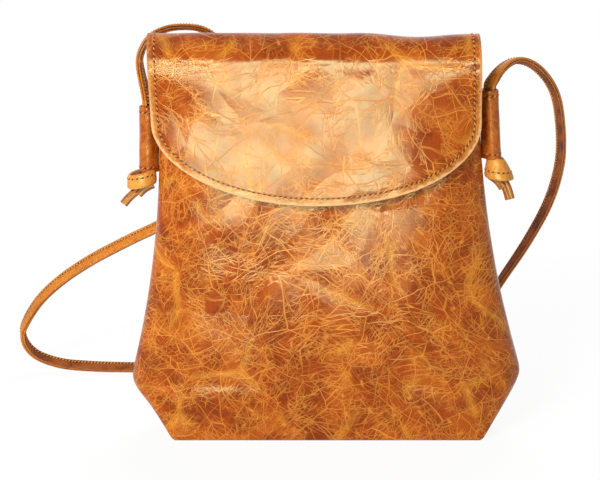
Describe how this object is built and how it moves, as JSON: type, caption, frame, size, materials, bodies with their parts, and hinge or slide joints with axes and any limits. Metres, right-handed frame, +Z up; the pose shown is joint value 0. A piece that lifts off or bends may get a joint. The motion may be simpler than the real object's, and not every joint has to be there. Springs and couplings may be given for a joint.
{
  "type": "crossbody bag",
  "caption": "Soft boxed leather pouch with a hinged front flap, side sleeves and one long knotted strap, for carrying small things across the body.",
  "frame": {"origin": "on the floor under the middle of the pouch", "axes": "+Z up, -Y towards the front and its flap, +X to the right seen from the front"},
  "size_m": [0.3874, 0.1562, 0.2693],
  "materials": {
    "waxed_leather": "waxed, crackled, semi-gloss",
    "strap_leather": "waxed, satin",
    "inside_leather": "plain suede side, matt",
    "lining_cotton": "plain weave, matt",
    "snap_nickel": "nickel plate, satin"
  },
  "bodies": {
    "pouch": {"front_panel": "waxed_leather", "back_panel": "waxed_leather", "front_facing": "inside_leather", "back_facing": "inside_leather", "front_lining": "lining_cotton", "back_lining": "lining_cotton", "slip_pocket": "lining_cotton", "flap_anchor": "waxed_leather", "snap_socket": "snap_nickel", "left_sleeve": "strap_leather", "right_sleeve": "strap_leather", "strap": "strap_leather", "left_knot": "strap_leather", "right_knot": "strap_leather"},
    "flap": {"flap_leather": "waxed_leather", "flap_lining": "inside_leather", "snap_stud": "snap_nickel"}
  },
  "joints": [
    {"name": "flap_hinge", "type": "hinge", "parent": "pouch", "child": "flap", "pos_m": [0, 0.0147, 0.256], "axis": [-1, 0, 0], "range_deg": [0, 170]}
  ]
}
